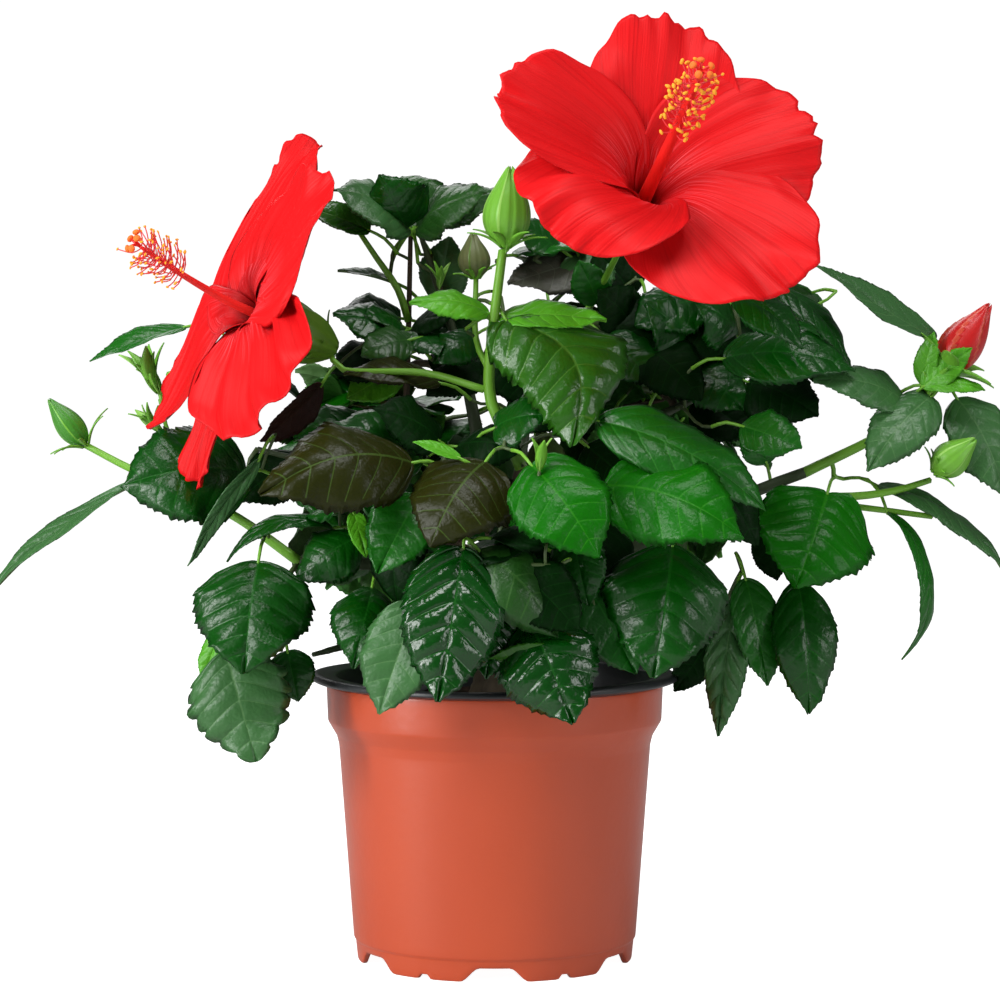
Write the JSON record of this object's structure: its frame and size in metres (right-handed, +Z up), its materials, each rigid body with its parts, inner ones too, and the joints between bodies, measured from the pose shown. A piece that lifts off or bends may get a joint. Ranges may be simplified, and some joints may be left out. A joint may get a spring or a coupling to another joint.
{
  "type": "potted hibiscus shrub",
  "caption": "Small flowering hibiscus shrub with toothed glossy leaves and large open red blooms, growing in a tapered terracotta-coloured nursery pot with a black lip.",
  "frame": {"origin": "on the pot's axis, at the level of the ground under its foot", "axes": "+Z up, the front of the plant, where the blooms face, towards -Y, +X to the right seen from the front"},
  "size_m": [0.406, 0.3, 0.353],
  "materials": {
    "pot_shell": "satin",
    "pot_lining": "satin",
    "potting_soil": "matte",
    "bark": "matte",
    "foliage": "satin",
    "petals": "matte"
  },
  "bodies": {
    "root": {"pot": "pot_shell", "pot_liner": "pot_lining", "soil": "potting_soil", "stem": "bark", "bough_front_low": "bark", "bough_front_left": "bark", "bough_front_right": "bark", "bough_left_lower": "bark", "bough_right_lower": "bark", "bough_left_upper": "bark", "bough_right_upper": "bark", "bough_top_middle": "bark", "bough_top_left": "bark", "bough_left_outer": "bark", "bough_right_outer": "bark", "bough_back_left": "bark", "bough_back_right": "bark", "bough_back_low": "bark", "bloom_right": "petals", "bloom_left": "petals", "foliage_front_low": "foliage", "foliage_front_left": "foliage", "foliage_front_right": "foliage", "foliage_left_lower": "foliage", "foliage_right_lower": "foliage", "foliage_left_upper": "foliage", "foliage_right_upper": "foliage", "foliage_top_middle": "foliage", "foliage_top_left": "foliage", "foliage_left_outer": "foliage", "foliage_right_outer": "foliage", "foliage_back_left": "foliage", "foliage_back_right": "foliage", "foliage_back_low": "foliage"}
  },
  "joints": []
}
